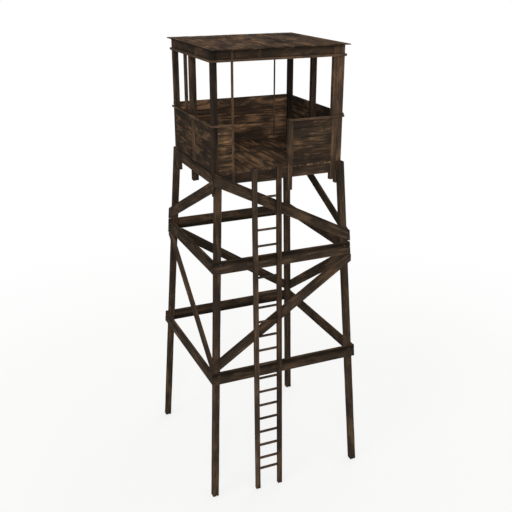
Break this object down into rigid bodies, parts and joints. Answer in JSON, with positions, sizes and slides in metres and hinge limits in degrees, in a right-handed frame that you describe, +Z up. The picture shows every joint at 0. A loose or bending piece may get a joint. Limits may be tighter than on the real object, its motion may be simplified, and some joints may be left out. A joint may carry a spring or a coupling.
{
  "type": "timber watchtower",
  "caption": "Open timber watchtower on splayed braced legs, with a boarded lookout cabin, a flat plank roof and a fixed ladder up to the doorway.",
  "frame": {"origin": "on the ground, under the middle of the whole tower with its ladder", "axes": "+Z up, the doorway and the ladder face -Y, +X to the right seen from the front"},
  "size_m": [3.43, 3.624, 9.075],
  "materials": {
    "leg_timber": "weathered bare timber, rough sawn",
    "bracing_planks": "weathered bare planks",
    "cabin_frame": "weathered bare timber",
    "cabin_boards": "weathered dark boards",
    "rails": "weathered thin planks, worn edges",
    "ladder_wood": "weathered timber, worn rungs"
  },
  "bodies": {
    "root": {"leg_front_left": "leg_timber", "leg_front_right": "leg_timber", "leg_back_left": "leg_timber", "leg_back_right": "leg_timber", "lower_girts_ends": "bracing_planks", "lower_girts_sides": "bracing_planks", "upper_girts_ends": "bracing_planks", "upper_girts_sides": "bracing_planks", "lower_braces_ends": "bracing_planks", "lower_braces_sides": "bracing_planks", "upper_braces_ends": "bracing_planks", "upper_braces_sides": "bracing_planks", "floor_beam_left": "cabin_frame", "floor_beam_right": "cabin_frame", "floor_beam_front": "cabin_frame", "floor_beam_back": "cabin_frame", "floor_joists": "cabin_frame", "corner_post_front_left": "cabin_frame", "corner_post_front_right": "cabin_frame", "corner_post_back_left": "cabin_frame", "corner_post_back_right": "cabin_frame", "end_post_front": "cabin_frame", "mid_post_left": "cabin_frame", "mid_post_right": "cabin_frame", "door_post_left": "cabin_frame", "door_post_right": "cabin_frame", "stud_left": "cabin_frame", "headers_sides": "cabin_frame", "headers_ends": "cabin_frame", "roof_joists": "cabin_frame", "back_batten": "cabin_frame", "floor_deck": "cabin_boards", "wall_left": "cabin_boards", "wall_right": "cabin_boards", "wall_front_left": "cabin_boards", "wall_front_right": "cabin_boards", "wall_back": "cabin_boards", "roof_deck": "cabin_boards", "cap_rails_front": "rails", "cap_rails_side": "rails", "cap_rail_back": "rails", "head_rails_ends": "rails", "head_rails_sides": "rails", "ladder_stile_left": "ladder_wood", "ladder_stile_right": "ladder_wood", "ladder_rungs": "ladder_wood"}
  },
  "joints": []
}
